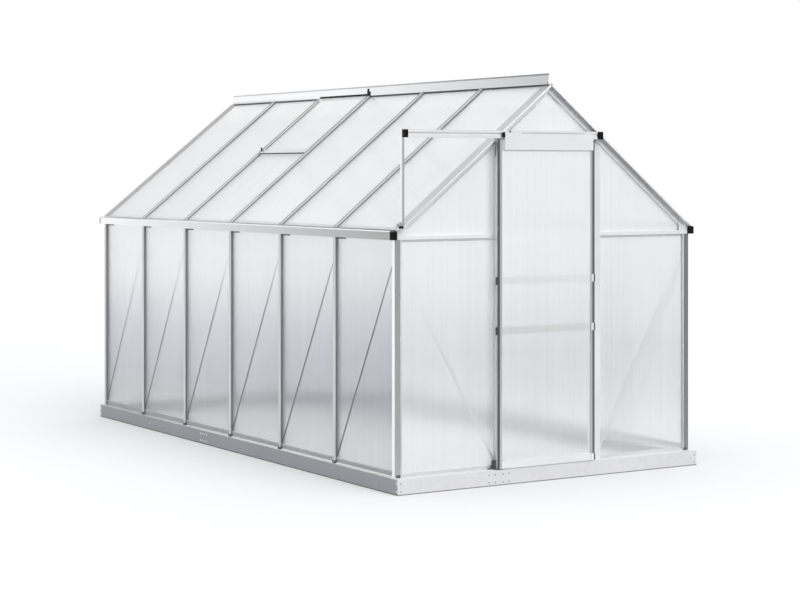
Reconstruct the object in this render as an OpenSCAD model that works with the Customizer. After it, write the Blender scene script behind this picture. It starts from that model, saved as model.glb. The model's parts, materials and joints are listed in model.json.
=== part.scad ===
// Greenhouse with translucent twin-wall panels in a light metal frame, on a sheet base.
// One side door slides along a rail across the front. All sizes are in millimetres.
// X runs across the front, Y from the front to the back and Z up.
// The origin is the middle of the overall footprint, at ground level.

/* [Base] */
// Width of the base over its outer faces
base_w = 1960; // [1600:1:2600]
// Length of the base over its outer faces
base_l = 3750; // [2400:1:5600]
// Height of the base
base_h = 80; // [50:1:160]
// Sheet thickness of the base
base_t = 2; // [1:0.5:4]
// Width of the base's top flange, on which the walls stand
base_top_w = 92; // [88:1:140]
// Width of the base's bottom flange
base_foot_w = 34; // [20:1:60]
// Gap between two base sheets that butt
seam_gap = 0.4; // [0.2:0.1:2]
// Distance of the front seam to the left of the middle
front_seam_x = 358; // [150:1:500]
// Distance of the side seams behind the middle
side_seam_y = 324; // [100:1:600]
// Length of a splice plate
splice_l = 160; // [100:1:240]
// Height of a splice plate
splice_h = 62; // [30:1:74]
// Leg of the angle in each corner of the base
corner_leg = 45; // [30:1:80]

/* [Walls] */
// Distance from the base's side to the wall posts' outer faces
side_inset = 15; // [8:1:40]
// Distance from the base's front to the front posts' outer faces
front_inset = 52; // [45:1:70]
// Distance from the base's back to the back posts' outer faces
back_inset = 32; // [20:1:60]
// Number of bays along each side
side_bays = 6; // [3:1:9]
// Thickness of the twin-wall panels
panel_t = 4; // [3:0.5:10]
// Depth by which bars stand proud of the panels
bar_d = 12; // [8:1:20]
// Width of a bar's outer face
bar_w = 26; // [20:1:40]
// Thickness of a bar's web, between two panels
web_t = 4; // [2:0.5:8]
// Depth of a bar's web behind the outer part
web_d = 20; // [12:1:30]
// Width of a bar's inner flange
inner_w = 20; // [12:1:26]
// Thickness of a bar's inner flange
inner_t = 3; // [2:0.5:5]
// Corner post's width on the front and back
corner_w = 35; // [26:1:50]
// Corner post's width on the sides
corner_d = 26; // [22:1:50]
// Wall thickness of the corner posts
corner_t = 2.5; // [1.5:0.5:5]
// Height of the side sills
side_sill_h = 32; // [20:1:60]
// Height of the front and back sills
end_sill_h = 14; // [10:1:40]
// Thickness of the sills' metal
sill_t = 3; // [2:0.5:5]
// Depth of the sills from the panels' outer faces
sill_d = 23; // [15:1:40]
// Height of the underside of the eaves
eaves_h = 1287; // [1000:1:1900]
// Height of the eaves bars on the front and back
eaves_bar_h = 20; // [12:1:40]
// Width of the flat braces
brace_w = 11; // [8:1:30]
// Thickness of the flat braces
brace_t = 2.5; // [1.5:0.5:5]
// Distance of a brace's upper end below the eaves
brace_drop = 95; // [40:1:300]
// Height of a brace's foot over the base
brace_foot = 32; // [10:1:200]

/* [Roof] */
// Height of the roof's outer plane at the ridge
apex_h = 2101; // [1700:1:3000]
// Rise of the roof's outer plane from the eaves to over the wall posts' outer faces
roof_foot_rise = 42; // [30:1:90]
// Forward reach of the gable rafters' flanges
gable_reach = 30; // [15:1:30]
// Reach of the gable rafters' flanges over the roof panels
gable_cover = 30; // [15:1:60]
// Thickness of the gable rafters' flanges
gable_flange_t = 3; // [2:0.5:5]
// Width of the gable rafters' faces
rafter_w = 34; // [20:1:60]
// Half width of the ridge beam
ridge_half_w = 8; // [5:1:20]
// Depth of the ridge beam under the cap
ridge_beam_h = 72; // [50:1:120]
// Half width of the ridge cap
cap_half_w = 13; // [10:1:30]
// Height of the underside of the ridge cap over the roof's apex
cap_lift = 9; // [4:1:30]
// Height of the ridge cap
cap_h = 46; // [20:1:80]
// Thickness of the ridge cap's flat strip
cap_t = 2.5; // [1.5:0.5:5]
// Thickness of the ridge cap's fin
fin_t = 4; // [2:0.5:8]
// How far the fin's ends lean outward
fin_lean = 12; // [1:1:30]
// Forward reach of the ridge cap past the front posts' outer faces
ridge_reach = 18; // [5:1:29]
// Distance of the ridge cap's back end from the back posts' outer faces
ridge_back_in = 14; // [0:1:40]
// Thickness of the plates over the apex and the eaves corners
plate_t = 2; // [1:0.5:4]
// Width of the apex plates
apex_plate_w = 150; // [80:1:300]
// Width of the eaves corner plates
gusset_w = 62; // [40:1:90]

/* [Gutters] */
// Reach of the gutters past the wall posts' outer faces
gutter_reach = 30; // [20:1:60]
// Height of the gutters' outer walls
gutter_h = 41; // [30:1:90]
// Metal thickness of the gutters
gutter_t = 2.5; // [1.5:0.5:5]
// Width of the end caps over the walls, inwards from the posts' outer faces
gutter_cap_in = 8; // [4:1:20]
// Thickness of the gutters' end caps
gutter_cap_t = 12; // [4:1:20]

/* [Roof window] */
// Bay of the roof window, counted from the front
window_bay = 4; // [1:1:9]
// Reach of the window down from the ridge, measured level
window_run = 440; // [250:1:600]
// Width of the window's frame bars
window_bar = 24; // [15:1:40]
// Height of the window's frame
window_frame_h = 12; // [8:1:30]
// Depth of the cross bar under the window's lower edge
window_sill_d = 16; // [8:1:30]
// Depth of the window's panel below the top of its frame
window_panel_in = 4; // [0:1:12]
// Height of the black stop on the ridge
stop_h = 34; // [10:1:45]
// Thickness of the stop
stop_t = 4; // [2:1:12]
// Reach of the stop below the ridge cap
stop_low = 3; // [0:1:8]

/* [Door] */
// Half width from the middle to the door posts' outer edges
jamb_out = 346; // [300:1:500]
// Width of the door posts' outer faces
jamb_w = 40; // [26:1:80]
// Width of the closing lip on the right door post
closing_lip_w = 44; // [20:1:80]
// Thickness of the closing lip
closing_lip_t = 3; // [2:0.5:6]
// Left edge of the closed door, from the middle
door_left = 365; // [330:1:500]
// Width of the door
door_w = 630; // [560:1:760]
// Depth of the door's frame
door_d = 21; // [18:1:40]
// Running gap between the door and fixed pieces
door_gap = 5; // [5:0.5:10]
// Height of the underside of the door's head plate
head_low_h = 1747; // [1400:1:2000]
// Height of the head plate's top
head_top_h = 1834; // [1500:1:2100]
// Height of the top of the door's stiles
stile_top_h = 1800; // [1400:1:2000]
// Width of the door's stiles
stile_w = 24; // [15:1:50]
// Width of the seal strip in a stile's outer edge
seal_w = 10; // [5:1:14]
// Depth of the seal strip's groove
seal_d = 8; // [3:1:14]
// Depth of the seal strips behind the stiles' fronts
seal_in = 1; // [0:0.5:2.5]
// Height of the door's bottom rail
foot_rail_h = 38; // [20:1:80]
// Height of the underside of the upper mid rail
upper_rail_z = 1044; // [700:1:1400]
// Height of the underside of the lower mid rail
lower_rail_z = 783; // [300:1:1000]
// Height of the mid rails
mid_rail_h = 40; // [20:1:80]
// Depth of the door's rails
door_rail_d = 14; // [8:1:20]
// Width of the clips at the mid rails' ends
clip_t = 3; // [2:0.5:6]
// Width of the right clips' front tabs
clip_tab_w = 17; // [6:1:20]
// Thickness of the right clips' front tabs
clip_tab_t = 1.5; // [1:0.5:4]
// Thickness of the door's head plate
head_t = 2.5; // [1.5:0.5:5]

/* [Door rail] */
// Height of the rail's underside
rail_z = 1807; // [1500:1:2100]
// Height of the rail
rail_h = 41; // [30:1:80]
// Depth of the rail
rail_d = 18; // [14:1:21]
// Metal thickness of the rail
rail_t = 2.5; // [1.5:0.5:4]
// Left end of the rail, from the middle
rail_left = 914; // [800:1:1100]
// Distance by which the rail's right end stops short of the right rafter
rail_right_in = 52; // [30:1:90]
// Length of the rail's left end cap
rail_cap_l = 26; // [10:1:50]
// Length of the rail's right end cap
rail_cap_r = 40; // [10:1:60]
// Height of the lower edge of the rail's slot over its underside
slot_low = 14; // [8:1:30]
// Height of the rail's slot
slot_h = 12; // [8:1:20]
// Radius of the door's rollers
roller_r = 16; // [8:0.5:17]
// Thickness of the door's rollers
roller_t = 7; // [4:0.5:12]
// Radius of the rollers' axles
axle_r = 3; // [2:0.5:5]
// Distance of the rollers from the door's edges
roller_in = 32; // [15:1:120]
// Width of the black carrier at the head plate's left end
carrier_w = 16; // [8:1:30]
// Height of the carrier
carrier_h = 26; // [16:1:40]
// Thickness of the carrier, in front of the door's frame
carrier_t = 6; // [4:0.5:10]
// Distance of the upright's outer face past the rail's left end cap
upright_out = 10; // [0:1:12]
// Running gap of a roller over the rail's lower lip
roller_gap = 0.5; // [0.3:0.1:2]
// Width of the upright that carries the rail's left end
upright_w = 14; // [8:1:40]
// Depth of the upright
upright_d = 16; // [8:1:30]
// Height of the upright's foot over the roof's outer plane
upright_foot = 14; // [6:1:40]
// Height of the guides at the foot of the door posts
guide_h = 45; // [20:1:90]

/* [Hidden] */
// small step that makes two pieces of one solid meet
eps = 0.01;
facets = 32;
// clearance between sloping faces that lie on each other
fit_gap = 0.05;
// overall depth runs from the door's carrier, or the base's front, to the back of the base
front_reach = max(0, gable_reach + door_gap + door_d + carrier_t - front_inset);
mid_y = front_reach / 2;
base_front = mid_y - base_l / 2;
base_back = mid_y + base_l / 2;
wall_front = base_front + front_inset;
wall_back = base_back - back_inset;
wall_x = base_w / 2 - side_inset;
bay = (wall_back - wall_front) / side_bays;
// outer faces of the panels
panel_x = wall_x - bar_d;
panel_front = wall_front + bar_d;
panel_back = wall_back - bar_d;
panel_low = base_h + sill_t;
roof_slope = (apex_h - eaves_h - roof_foot_rise) / wall_x;
// level height of one millimetre measured square to the roof
square_rise = sqrt(1 + roof_slope * roof_slope);
roof_panel_top = gable_flange_t + fit_gap;
roof_panel_low = roof_panel_top + panel_t;
roof_bar_low = gable_flange_t;
roof_bar_top = roof_bar_low - bar_d;
cap_z = apex_h + cap_lift;
ridge_front = wall_front - ridge_reach;
ridge_back = wall_back - ridge_back_in;
gutter_x = wall_x + gutter_reach;
gutter_in_x = wall_x - corner_w;
gutter_cap_x = wall_x - gutter_cap_in;
roof_low_x = wall_x - gutter_t;
// underside of the bar over the doorway
over_door_z = rail_z - eaves_bar_h;
// clear width between the door posts' webs
jamb_mid = jamb_out - jamb_w / 2;
rail_back = wall_front - gable_reach;
rail_front = rail_back - rail_d;
door_back = rail_back - door_gap;
door_front = door_back - door_d;
door_low = base_h + door_gap;
door_right = door_w - door_left;
slot_z = rail_z + slot_low;
rail_right = round(roof_x(rail_z + rail_h / 2, 0) - rail_right_in);
roller_z = rail_z + rail_t + roller_gap + roller_r;
wall_panel_gap = 0.3;

// height of the roof at a distance across, at a depth square to its outer plane
function roof_z(x, depth) = apex_h - roof_slope * abs(x) - depth * square_rise;

function post_y(k) = wall_front + k * bay;

module slab(lo, hi) {
    translate(lo) cube([hi[0] - lo[0], hi[1] - lo[1], hi[2] - lo[2]]);
}

// outline in X and Z, carried along Y
module along_y(points, y0, y1) {
    translate([0, y1, 0]) rotate([90, 0, 0]) linear_extrude(height = y1 - y0) polygon(points);
}

// outline in Y and Z, carried along X
module along_x(points, x0, x1) {
    translate([x0, 0, 0]) rotate([90, 0, 90]) linear_extrude(height = x1 - x0) polygon(points);
}

// outline in X and Y, carried along Z
module upright(points, z0, z1) {
    translate([0, 0, z0]) linear_extrude(height = z1 - z0) polygon(points);
}

module both_sides() {
    children();
    mirror([1, 0, 0]) children();
}

// runs between the front and the back of the base: turns a piece of the front to the back
module both_ends() {
    children();
    translate([0, 2 * mid_y, 0]) mirror([0, 1, 0]) children();
}

// strip of the right roof between two depths square to its plane, from x0 out to x1
function roof_strip(x0, x1, top, low) = [
    [x0, roof_z(x0, low)],
    [x1, roof_z(x1, low)],
    [x1, roof_z(x1, top)],
    [x0, roof_z(x0, top)]];

// section of the base, with its outer face at u = 0 and the inside at plus u
function plinth_section() = [
    [0, 0],
    [base_foot_w, 0],
    [base_foot_w, base_t],
    [base_t, base_t],
    [base_t, base_h - base_t],
    [base_top_w, base_h - base_t],
    [base_top_w, base_h],
    [0, base_h]];

// section of a sill, with the panel's outer face at u = 0 and the inside at plus u
function sill_section(h) = [
    [-sill_t, base_h],
    [sill_d, base_h],
    [sill_d, base_h + end_sill_h],
    [sill_d - sill_t, base_h + end_sill_h],
    [sill_d - sill_t, base_h + sill_t],
    [0, base_h + sill_t],
    [0, base_h + h],
    [-sill_t, base_h + h]];

// section of a bar: outer face at v = 0, the inside at plus v, centred on u = 0
function bar_section(w) = [
    [-w / 2, 0],
    [w / 2, 0],
    [w / 2, bar_d],
    [web_t / 2, bar_d],
    [web_t / 2, bar_d + web_d - inner_t],
    [inner_w / 2, bar_d + web_d - inner_t],
    [inner_w / 2, bar_d + web_d],
    [-inner_w / 2, bar_d + web_d],
    [-inner_w / 2, bar_d + web_d - inner_t],
    [-web_t / 2, bar_d + web_d - inner_t],
    [-web_t / 2, bar_d],
    [-w / 2, bar_d]];

module plinth_end() {
    section = [for (p = plinth_section()) [base_front + p[0], p[1]]];
    lap = seam_gap / 2;
    intersection() {
        union() {
            along_x(section, -base_w / 2, -front_seam_x - lap);
            along_x(section, -front_seam_x + lap, base_w / 2);
        }
        upright([[-base_w / 2, base_front],
            [base_w / 2, base_front],
            [base_w / 2 - base_top_w, base_front + base_top_w],
            [-base_w / 2 + base_top_w, base_front + base_top_w]], 0, base_h);
    }
}

module plinth_ends() color("gainsboro") {
    plinth_end();
    translate([0, 2 * mid_y, 0]) rotate([0, 0, 180]) plinth_end();
}

module plinth_side() {
    section = [for (p = plinth_section()) [base_w / 2 - p[0], p[1]]];
    seam = mid_y + side_seam_y;
    lap = seam_gap / 2;
    intersection() {
        union() {
            along_y(section, base_front, seam - lap);
            along_y(section, seam + lap, base_back);
        }
        upright([[base_w / 2, base_front],
            [base_w / 2, base_back],
            [base_w / 2 - base_top_w, base_back - base_top_w],
            [base_w / 2 - base_top_w, base_front + base_top_w]], 0, base_h);
    }
}

module plinth_sides() color("silver") both_sides() plinth_side();

// angles in the four corners and plates behind the four seams
module plinth_joints() color("darkgray") {
    inner = base_t;
    low = base_t;
    high = low + splice_h;
    face = base_w / 2 - inner;
    front = base_front + inner;
    seam = mid_y + side_seam_y;
    both_ends() both_sides()
        upright([[face, front],
            [face, front + corner_leg],
            [face - base_t, front + corner_leg],
            [face - base_t, front + base_t],
            [face - corner_leg, front + base_t],
            [face - corner_leg, front]], low, high);
    both_sides()
        slab([face - base_t, seam - splice_l / 2, low], [face, seam + splice_l / 2, high]);
    slab([-front_seam_x - splice_l / 2, front, low],
        [-front_seam_x + splice_l / 2, front + base_t, high]);
    slab([front_seam_x - splice_l / 2, base_back - inner - base_t, low],
        [front_seam_x + splice_l / 2, base_back - inner, high]);
}

// side sill pieces, one in each bay, between the posts
module sill_side() {
    section = [for (p = sill_section(side_sill_h)) [panel_x - p[0], p[1]]];
    for (k = [0 : side_bays - 1]) {
        y0 = k == 0 ? wall_front + corner_d : post_y(k) + bar_w / 2;
        y1 = k == side_bays - 1 ? wall_back - corner_d : post_y(k + 1) - bar_w / 2;
        along_y(section, y0, y1);
    }
}

module side_sills() color("silver") both_sides() sill_side();

module end_sills() color("silver") {
    front = [for (p = sill_section(end_sill_h)) [panel_front + p[0], p[1]]];
    back = [for (p = sill_section(end_sill_h)) [panel_back - p[0], p[1]]];
    both_sides() along_x(front, jamb_out, wall_x - corner_w);
    both_sides() along_x(back, jamb_mid + bar_w / 2, wall_x - corner_w);
    along_x(back, -jamb_mid + bar_w / 2, jamb_mid - bar_w / 2);
}

module corner_posts() color("silver") both_ends_walls() both_sides() difference() {
    slab([wall_x - corner_w, wall_front, base_h], [wall_x, wall_front + corner_d, eaves_h]);
    slab([wall_x - corner_w + corner_t, wall_front + corner_t, base_h - corner_t],
        [wall_x - corner_t, wall_front + corner_d - corner_t, eaves_h + corner_t]);
}

// repeats a piece of the front wall on the back wall
module both_ends_walls() {
    children();
    translate([0, wall_front + wall_back, 0]) mirror([0, 1, 0]) children();
}

module wall_posts() color("silver") both_sides()
    for (k = [1 : side_bays - 1])
        upright([for (p = bar_section(bar_w)) [wall_x - p[1], post_y(k) + p[0]]],
            base_h, eaves_h);

// height of an end post that stops under the rafter's face
function end_post_top(x) = roof_z(x, rafter_w);

module back_posts() color("silver") both_sides()
    upright([for (p = bar_section(bar_w)) [jamb_mid + p[0], wall_back - p[1]]],
        base_h, end_post_top(jamb_mid + bar_w / 2));

// a door post stops under the rafter or under the bar over the doorway
door_post_top = min(end_post_top(jamb_out), over_door_z);

module door_post() upright([for (p = bar_section(jamb_w)) [jamb_mid + p[0], wall_front + p[1]]],
    base_h, door_post_top);

module door_post_left() color("silver") mirror([1, 0, 0]) door_post();

module door_post_right() color("silver") {
    door_post();
    lip_top = min(over_door_z, end_post_top(jamb_out - jamb_w));
    slab([jamb_out - jamb_w - closing_lip_w, wall_front, base_h],
        [jamb_out - jamb_w + eps, wall_front + closing_lip_t, lip_top]);
}

// distance across at which a depth square to the roof reaches a height
function roof_x(z, depth) = (apex_h - depth * square_rise - z) / roof_slope;

// level bars at the eaves, and the bar over the doorway
module eaves_bars() color("silver") {
    top = eaves_h + eaves_bar_h;
    both_sides() slab([jamb_out, wall_front, eaves_h], [gutter_in_x, panel_front, top]);
    both_sides() slab([jamb_mid + bar_w / 2, panel_back, eaves_h], [gutter_in_x, wall_back, top]);
    slab([-jamb_mid + bar_w / 2, panel_back, eaves_h], [jamb_mid - bar_w / 2, wall_back, top]);
    along_y([[-roof_x(over_door_z, rafter_w), over_door_z],
        [roof_x(over_door_z, rafter_w), over_door_z],
        [roof_x(rail_z, rafter_w), rail_z],
        [-roof_x(rail_z, rafter_w), rail_z]], wall_front, panel_front);
}

// gutter: a channel whose inner wall rises to the roof panels
function gutter_section() = [
    [gutter_in_x, eaves_h],
    [gutter_x, eaves_h],
    [gutter_x, eaves_h + gutter_h],
    [gutter_x - gutter_t, eaves_h + gutter_h],
    [gutter_x - gutter_t, eaves_h + gutter_t],
    [gutter_in_x + gutter_t, eaves_h + gutter_t],
    [gutter_in_x + gutter_t, roof_z(gutter_in_x + gutter_t, roof_panel_low + fit_gap)],
    [gutter_in_x, roof_z(gutter_in_x, roof_panel_low + fit_gap)]];

module gutter() along_y(gutter_section(), wall_front, wall_back);

module gutter_right() color("gainsboro") gutter();

module gutter_left() color("gainsboro") mirror([1, 0, 0]) gutter();

module gutter_caps() color("black") both_ends_walls() both_sides()
    slab([gutter_cap_x, wall_front - gutter_cap_t, eaves_h],
        [gutter_x, wall_front, eaves_h + gutter_h]);

// gable rafter: a face in the gable and a flange that reaches forward and over the panels
module rafter() {
    along_y(roof_strip(0, gutter_in_x, 0, rafter_w), wall_front, panel_front);
    along_y(roof_strip(0, gutter_cap_x, 0, gable_flange_t), rail_back,
        panel_front + gable_cover);
}

module gable_rafters() color("gainsboro") both_ends_walls() both_sides() rafter();

module roof_bars() {
    web_low = roof_panel_top + web_d;
    for (k = [1 : side_bays - 1]) {
        y = post_y(k);
        along_y(roof_strip(ridge_half_w, roof_low_x, roof_bar_top, roof_bar_low),
            y - bar_w / 2, y + bar_w / 2);
        along_y(roof_strip(ridge_half_w, gutter_in_x, roof_bar_low - eps, web_low),
            y - web_t / 2, y + web_t / 2);
        along_y(roof_strip(ridge_half_w, gutter_in_x, web_low - inner_t, web_low),
            y - inner_w / 2, y + inner_w / 2);
    }
}

module roof_bars_right() color("silver") roof_bars();

module roof_bars_left() color("silver") mirror([1, 0, 0]) roof_bars();

module ridge_beam() color("silver")
    slab([-ridge_half_w, panel_front + gable_cover, cap_z - ridge_beam_h],
        [ridge_half_w, panel_back - gable_cover, cap_z]);

// ridge cap: a flat strip on the beam with a tall fin along its left edge
module ridge_cap() color("gainsboro") {
    slab([-cap_half_w, ridge_front + fin_lean, cap_z],
        [cap_half_w, ridge_back - fin_lean, cap_z + cap_t]);
    along_x([[ridge_front + fin_lean, cap_z],
        [ridge_back - fin_lean, cap_z],
        [ridge_back, cap_z + cap_h],
        [ridge_front, cap_z + cap_h]], -cap_half_w, -cap_half_w + fin_t);
}

apex_plate_depth = roof_panel_low + fit_gap;

// plates behind the gable panels at the apex
module apex_plates() color("whitesmoke") both_ends_walls()
    along_y([[-apex_plate_w / 2, roof_z(apex_plate_w / 2, rafter_w)],
        [apex_plate_w / 2, roof_z(apex_plate_w / 2, rafter_w)],
        [apex_plate_w / 2, roof_z(apex_plate_w / 2, apex_plate_depth)],
        [0, roof_z(0, apex_plate_depth)],
        [-apex_plate_w / 2, roof_z(apex_plate_w / 2, apex_plate_depth)]],
        panel_front + panel_t, panel_front + panel_t + plate_t);

module gussets() color("whitesmoke") both_ends_walls() both_sides()
    along_y([[gutter_cap_x - gusset_w, eaves_h],
        [gutter_cap_x, eaves_h],
        [gutter_cap_x, roof_z(gutter_cap_x, gable_flange_t)],
        [gutter_cap_x - gusset_w, roof_z(gutter_cap_x - gusset_w, gable_flange_t)]],
        wall_front - plate_t, wall_front);

// outline of a flat brace: from (u0, low) to (u1, high), with upright ends
function brace_outline(u0, u1, low, high) =
    let (rise = high - low, run = abs(u1 - u0))
    let (cut = brace_w * sqrt(rise * rise + run * run) / run)
    [[u0, low], [u1, high - cut], [u1, high], [u0, low + cut]];

brace_low = base_h + brace_foot;
brace_high = eaves_h - brace_drop;
// braces lie on the panels' inner faces
brace_x = panel_x - panel_t;
brace_front = panel_front + panel_t;
brace_back = panel_back - panel_t;

module side_braces() {
    for (k = [0 : side_bays - 1]) {
        front_y = k == 0 ? wall_front + corner_d : post_y(k) + bar_w / 2;
        back_y = k == side_bays - 1 ? wall_back - corner_d : post_y(k + 1) - bar_w / 2;
        along_x(brace_outline(back_y, front_y, brace_low, brace_high), brace_x - brace_t,
            brace_x);
    }
}

module wall_braces() color("gray") {
    both_sides() side_braces();
    both_sides() along_y(brace_outline(jamb_out, wall_x - corner_w, brace_low, brace_high),
        brace_front, brace_front + brace_t);
    both_sides() along_y(brace_outline(jamb_mid + bar_w / 2, wall_x - corner_w, brace_low,
        brace_high), brace_back - brace_t, brace_back);
}

module side_panels() {
    for (k = [0 : side_bays - 1]) {
        y0 = k == 0 ? wall_front + corner_d : post_y(k) + web_t / 2;
        y1 = k == side_bays - 1 ? wall_back - corner_d : post_y(k + 1) - web_t / 2;
        slab([panel_x - panel_t, y0, panel_low], [panel_x, y1, eaves_h]);
    }
}

module wall_panels_right() color("white", 0.5) side_panels();

module wall_panels_left() color("white", 0.5) mirror([1, 0, 0]) side_panels();

// lower panels end and gable panels start behind the middle of the eaves bars
end_split = eaves_h + eaves_bar_h / 2;
end_panel_top = end_split - wall_panel_gap / 2;
end_gable_low = end_split + wall_panel_gap / 2;
web_out = jamb_mid + web_t / 2;
web_in = jamb_mid - web_t / 2;
gable_depth = roof_panel_low + web_d / 2;

module wall_panels_front() color("white", 0.5) both_sides()
    slab([web_out, panel_front, panel_low], [gutter_in_x, panel_front + panel_t, end_panel_top]);

module wall_panels_back() color("white", 0.5) {
    both_sides() slab([web_out, panel_back - panel_t, panel_low],
        [gutter_in_x, panel_back, end_panel_top]);
    slab([-web_in, panel_back - panel_t, panel_low], [web_in, panel_back, end_panel_top]);
}

// gable panel beside the middle bay
function gable_side_outline() = [
    [web_out, end_gable_low],
    [gutter_in_x, end_gable_low],
    [gutter_in_x, roof_z(gutter_in_x, gable_depth)],
    [web_out, roof_z(web_out, gable_depth)]];

// gable panel of the middle bay, from a height up
function gable_middle_outline(low) = [
    [-web_in, low],
    [web_in, low],
    [web_in, roof_z(web_in, gable_depth)],
    [0, roof_z(0, gable_depth)],
    [-web_in, roof_z(web_in, gable_depth)]];

module gable_panels() color("white", 0.5) {
    both_ends_walls() both_sides()
        along_y(gable_side_outline(), panel_front, panel_front + panel_t);
    along_y(gable_middle_outline(over_door_z + eaves_bar_h / 2), panel_front,
        panel_front + panel_t);
    along_y(gable_middle_outline(end_gable_low), panel_back - panel_t, panel_back);
}

function roof_y0(k) = k == 0 ? panel_front : post_y(k) + web_t / 2;

function roof_y1(k) = k == side_bays - 1 ? panel_back : post_y(k + 1) - web_t / 2;

module roof_panel(k, x0) along_y(roof_strip(x0, roof_low_x, roof_panel_top, roof_panel_low),
    roof_y0(k), roof_y1(k));

module roof_panels_right() color("white", 0.5)
    for (k = [0 : side_bays - 1]) roof_panel(k, ridge_half_w);

window_top_x = cap_half_w;
window_low_x = window_top_x + window_run;
window_k = window_bay - 1;

module roof_panels_left() color("white", 0.5) mirror([1, 0, 0])
    for (k = [0 : side_bays - 1]) roof_panel(k, k == window_k ? window_low_x : ridge_half_w);

window_y0 = post_y(window_k) + bar_w / 2;
window_y1 = post_y(window_k + 1) - bar_w / 2;
window_top_d = roof_panel_top - window_frame_h;
glass_y0 = window_y0 + window_bar;
glass_y1 = window_y1 - window_bar;

module window_frame() color("silver") mirror([1, 0, 0]) difference() {
    along_y(roof_strip(window_top_x, window_low_x, window_top_d, roof_panel_top),
        window_y0, window_y1);
    along_y(roof_strip(window_top_x + window_bar, window_low_x - window_bar,
        window_top_d - window_bar, roof_panel_top + window_bar), glass_y0, glass_y1);
}

module window_panel() color("white", 0.5) mirror([1, 0, 0])
    along_y(roof_strip(window_top_x + window_bar, window_low_x - window_bar,
        window_top_d + window_panel_in, window_top_d + window_panel_in + panel_t),
        glass_y0, glass_y1);

// cross bar that carries the window's lower edge and the panel below it
module window_sill() color("silver") mirror([1, 0, 0])
    along_y(roof_strip(window_low_x - window_bar, window_low_x, roof_panel_top + fit_gap,
        roof_panel_top + window_sill_d), roof_y0(window_k), roof_y1(window_k));

module window_stop() color("black")
    slab([-cap_half_w - stop_t, window_y0 - bar_w / 2, cap_z - stop_low],
        [-cap_half_w, window_y0, cap_z - stop_low + stop_h]);

module door_rail() color("gainsboro") along_x([
    [rail_front, rail_z],
    [rail_back, rail_z],
    [rail_back, rail_z + rail_h],
    [rail_front, rail_z + rail_h],
    [rail_front, slot_z + slot_h],
    [rail_front + rail_t, slot_z + slot_h],
    [rail_front + rail_t, rail_z + rail_h - rail_t],
    [rail_back - rail_t, rail_z + rail_h - rail_t],
    [rail_back - rail_t, rail_z + rail_t],
    [rail_front + rail_t, rail_z + rail_t],
    [rail_front + rail_t, slot_z],
    [rail_front, slot_z]], -rail_left, rail_right);

module rail_caps() color("black") {
    slab([-rail_left - rail_cap_l, rail_front, rail_z], [-rail_left, rail_back, rail_z + rail_h]);
    slab([rail_right, rail_front, rail_z], [rail_right + rail_cap_r, rail_back, rail_z + rail_h]);
}

upright_x = rail_left + rail_cap_l + upright_out;
upright_foot_z = roof_z(upright_x - upright_w, 0) + upright_foot;

// upright from the roof's corner to the rail's left end, on a bracket
module rail_upright() color("silver") mirror([1, 0, 0]) {
    slab([upright_x - upright_w, rail_back - upright_d, upright_foot_z - eps],
        [upright_x, rail_back, rail_z]);
    along_y([[upright_x - upright_w, roof_z(upright_x - upright_w, 0)],
        [upright_x, roof_z(upright_x, 0)],
        [upright_x, upright_foot_z],
        [upright_x - upright_w, upright_foot_z]], rail_back - upright_d,
        wall_front - gutter_cap_t);
}

// guide at the foot of the left door post
module door_guides() color("dimgray") mirror([1, 0, 0])
    slab([jamb_out - jamb_w, door_back + door_gap, base_h], [jamb_out, wall_front, base_h + guide_h]);

// stile section on the left edge: outer face at u = 0, front at v = 0
function stile_section() = [
    [0, seal_d],
    [seal_w, seal_d],
    [seal_w, 0],
    [stile_w, 0],
    [stile_w, door_d],
    [0, door_d]];

module door_stiles() color("silver") {
    upright([for (p = stile_section()) [-door_left + p[0], door_front + p[1]]],
        door_low, stile_top_h);
    upright([for (p = stile_section()) [door_right - p[0], door_front + p[1]]],
        door_low, stile_top_h);
}

module door_seals() color("black") {
    front = door_front + seal_in;
    slab([-door_left, front, door_low], [-door_left + seal_w, door_front + seal_d, stile_top_h]);
    slab([door_right - seal_w, front, door_low],
        [door_right, door_front + seal_d, stile_top_h]);
}

rail_x0 = -door_left + stile_w;
rail_x1 = door_right - stile_w;

module door_rail_bar(low, high) slab([rail_x0, door_front, low],
    [rail_x1, door_front + door_rail_d, high]);

// mid rails lie behind the panel
module door_mid_rail(low) slab([rail_x0, door_panel_y + panel_t, low],
    [rail_x1, door_back, low + mid_rail_h]);

// bottom rail, two mid rails and the top rail
module door_rails() color("silver") {
    door_rail_bar(door_low, door_low + foot_rail_h);
    door_mid_rail(lower_rail_z);
    door_mid_rail(upper_rail_z);
    door_rail_bar(head_low_h, stile_top_h);
}

module door_head() color("whitesmoke")
    slab([-door_left + roller_in + carrier_w / 2, door_front - head_t, head_low_h],
        [door_right - seal_w, door_front, head_top_h]);

// clips at the ends of the door's rails: on the right they reach round the stile's front
module door_clips() color("dimgray") {
    for (z = [lower_rail_z, upper_rail_z]) {
        slab([-door_left - clip_t, door_front, z], [-door_left, door_back, z + mid_rail_h]);
        right_clip(z, z + mid_rail_h);
    }
    right_clip(door_low, door_low + foot_rail_h);
}

module right_clip(low, high) {
    slab([door_right, door_front, low], [door_right + clip_t, door_back, high]);
    slab([rail_x1, door_front - clip_tab_t, low], [rail_x1 + clip_tab_w, door_front, high]);
}

door_panel_y = door_front + (door_rail_d - panel_t) / 2;

module door_panels() color("white", 0.5)
    slab([rail_x0, door_panel_y, door_low + foot_rail_h],
        [rail_x1, door_panel_y + panel_t, head_low_h]);

module roller(x) {
    wheel_y = (rail_front + rail_back + roller_t) / 2;
    translate([x, wheel_y, roller_z]) rotate([90, 0, 0]) cylinder(h = roller_t, r = roller_r, $fn = facets);
    translate([x, wheel_y, roller_z]) rotate([90, 0, 0])
        cylinder(h = wheel_y - door_front, r = axle_r, $fn = facets);
}

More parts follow.
